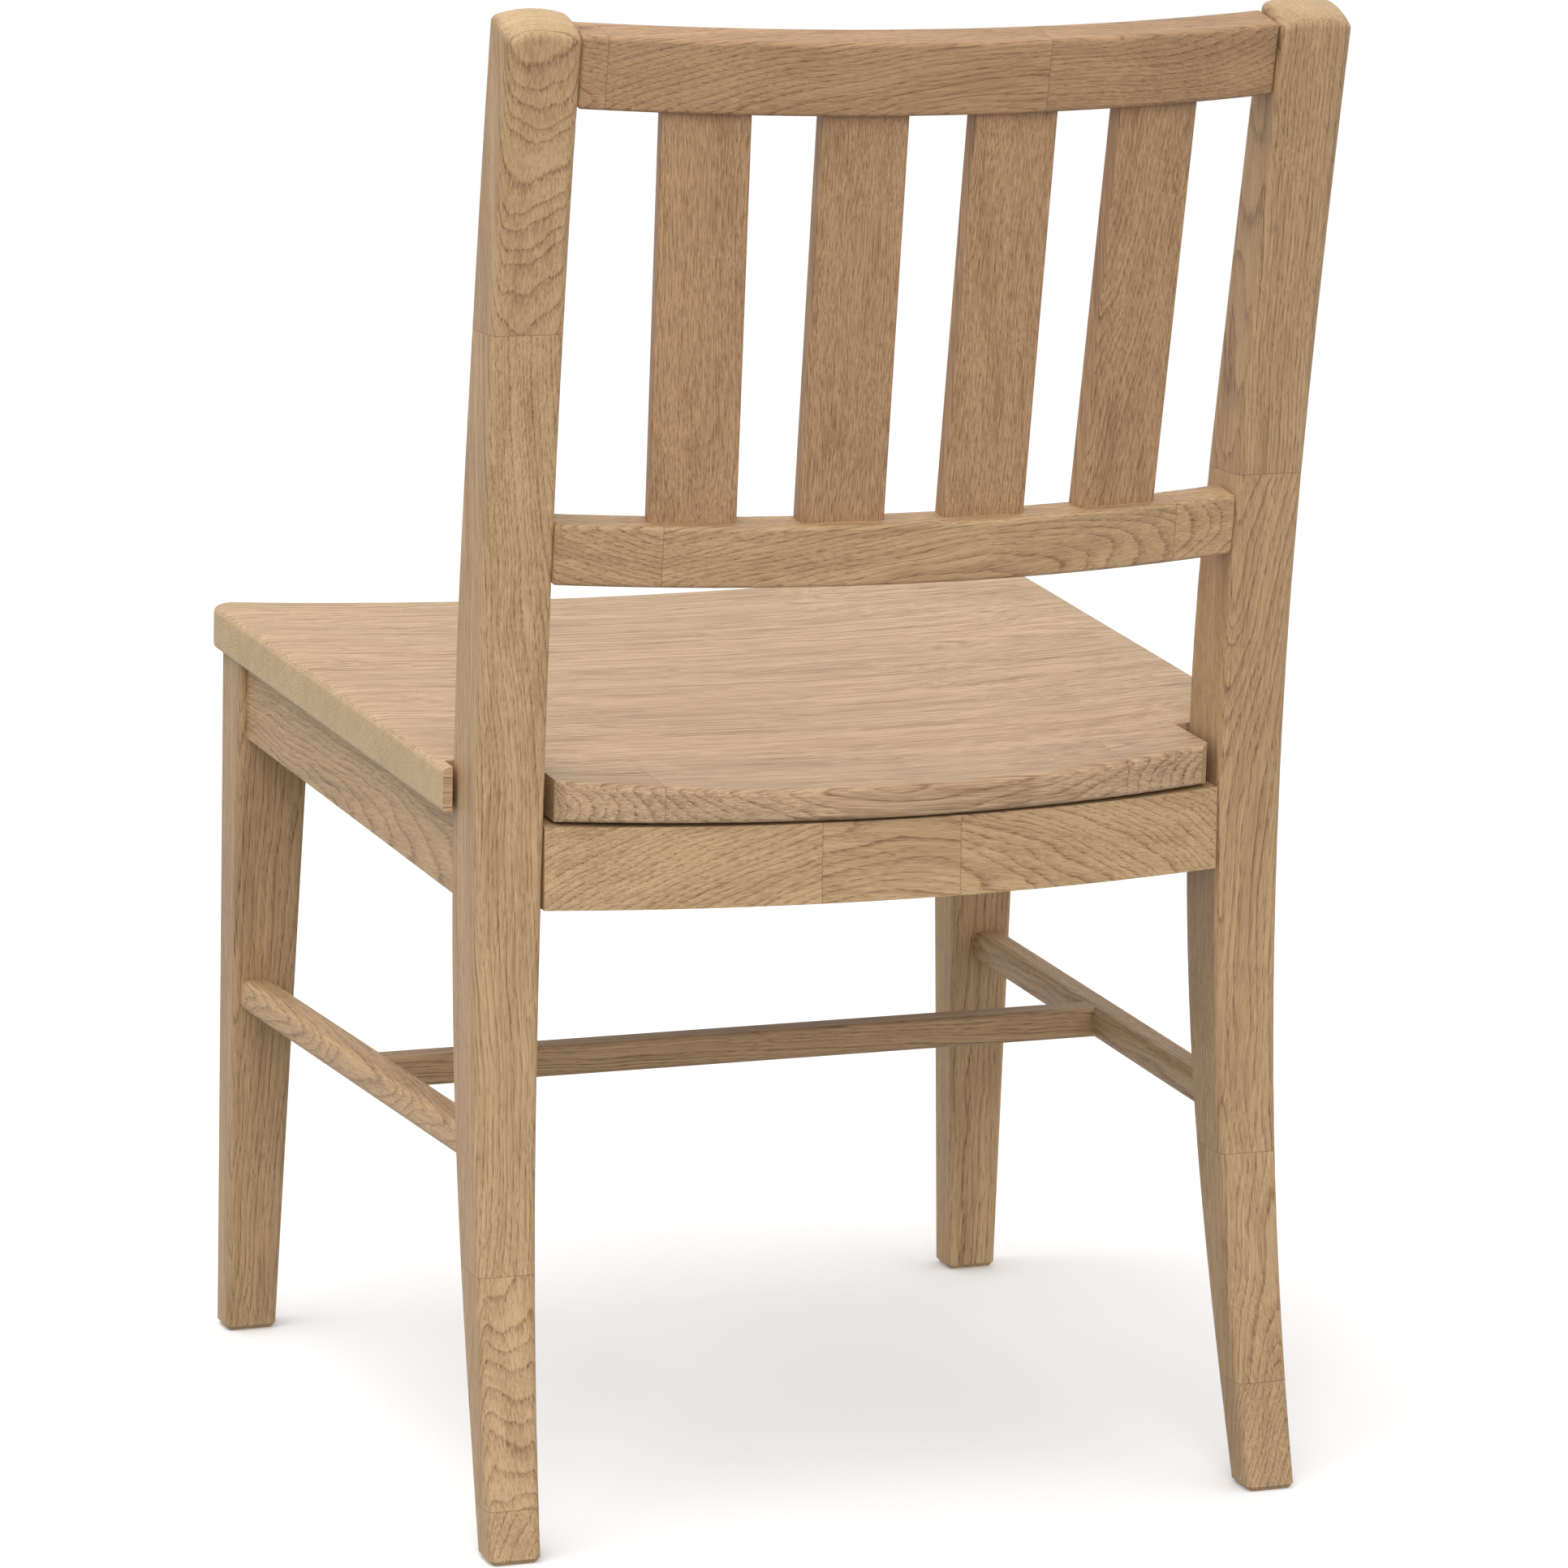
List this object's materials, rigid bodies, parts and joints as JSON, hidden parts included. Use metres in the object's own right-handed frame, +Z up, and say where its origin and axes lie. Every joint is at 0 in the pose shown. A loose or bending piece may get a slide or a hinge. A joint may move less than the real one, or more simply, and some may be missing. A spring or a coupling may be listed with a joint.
{
  "type": "dining chair",
  "caption": "Solid oak dining chair with raked posts, a slatted back between bowed rails, a dished sloping seat, tapered front legs and a stretcher frame.",
  "frame": {"origin": "on the floor, in the middle of the chair's bounding box", "axes": "+Z up, the sitter looks along -Y, the sitter's left hand is +X"},
  "size_m": [0.5152, 0.5699, 0.8397],
  "materials": {
    "oak_upright": "matte clear oil",
    "oak_crosswise": "matte clear oil",
    "oak_lengthwise": "matte clear oil",
    "oak_seat": "matte clear oil",
    "oak_blocks": "matte clear oil",
    "zinc_plated_steel": "zinc plated"
  },
  "bodies": {
    "root": {"rear_post_left": "oak_upright", "rear_post_right": "oak_upright", "front_leg_left": "oak_upright", "front_leg_right": "oak_upright", "crest_rail": "oak_crosswise", "lower_back_rail": "oak_crosswise", "back_slat_1": "oak_upright", "back_slat_2": "oak_upright", "back_slat_3": "oak_upright", "back_slat_4": "oak_upright", "seat_stave_1": "oak_seat", "seat_stave_2": "oak_seat", "seat_stave_3": "oak_seat", "seat_stave_4": "oak_seat", "seat_stave_5": "oak_seat", "seat_stave_6": "oak_seat", "seat_stave_7": "oak_seat", "seat_stave_8": "oak_seat", "front_apron": "oak_crosswise", "rear_apron": "oak_crosswise", "side_apron_left": "oak_lengthwise", "side_apron_right": "oak_lengthwise", "side_stretcher_left": "oak_lengthwise", "side_stretcher_right": "oak_lengthwise", "cross_stretcher": "oak_crosswise", "corner_block_front_left": "oak_blocks", "corner_block_front_right": "oak_blocks", "corner_block_rear_left": "oak_blocks", "corner_block_rear_right": "oak_blocks", "corner_block_screws": "zinc_plated_steel", "seat_screws": "zinc_plated_steel"}
  },
  "joints": []
}
